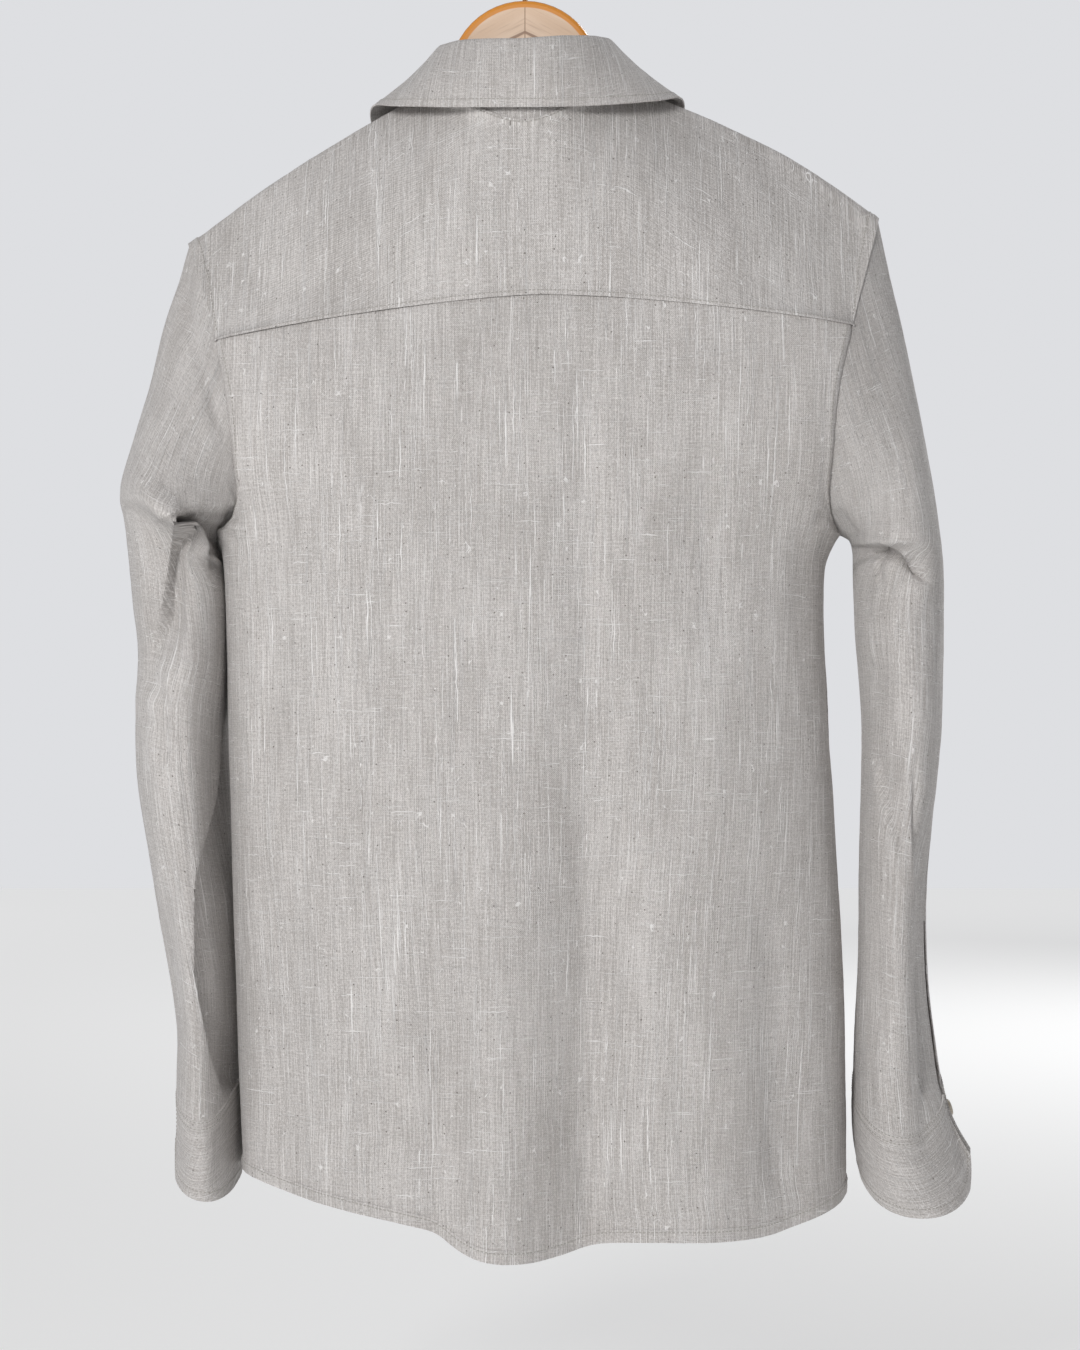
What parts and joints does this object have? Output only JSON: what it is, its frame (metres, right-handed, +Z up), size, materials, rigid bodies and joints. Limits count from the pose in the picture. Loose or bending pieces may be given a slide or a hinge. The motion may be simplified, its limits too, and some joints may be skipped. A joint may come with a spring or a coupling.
{
  "type": "zip-front shirt on a wooden hanger",
  "caption": "Long-sleeved slub linen shirt with a zip front, turned-down collar, back yoke and shirt-tail hem, hanging on a wooden hanger.",
  "frame": {"origin": "inside top of the hanger's hook, where it rests on a rail", "axes": "+Z up, -Y out of the zip front, +Y out of the back, +X towards the wearer's left sleeve"},
  "size_m": [0.5651, 0.211, 0.8892],
  "materials": {
    "linen": "matt slub weave",
    "zip_tape": "matt woven tape",
    "zip_metal": "satin",
    "button": "gloss",
    "wood": "oiled face, varnished edge",
    "hook_steel": "polished"
  },
  "bodies": {
    "garment": {"back": "linen", "front_left": "linen", "front_right": "linen", "back_yoke": "linen", "collar_stand": "linen", "collar_fall": "linen", "sleeve_left": "linen", "sleeve_right": "linen", "cuff_left": "linen", "cuff_right": "linen", "zip_tape_left": "zip_tape", "zip_tape_right": "zip_tape", "zip_chain": "zip_metal", "zip_slider": "zip_metal", "button_left": "button", "button_right": "button", "hanger_wood": "wood", "hanger_hook": "hook_steel"},
    "zip_pull": {"zip_pull": "zip_metal"}
  },
  "joints": [
    {"name": "zip_pull_swing", "type": "hinge", "parent": "garment", "child": "zip_pull", "pos_m": [0, -0.07969, -0.21677], "axis": [-1, 0, 0], "range_deg": [0, 170]}
  ]
}
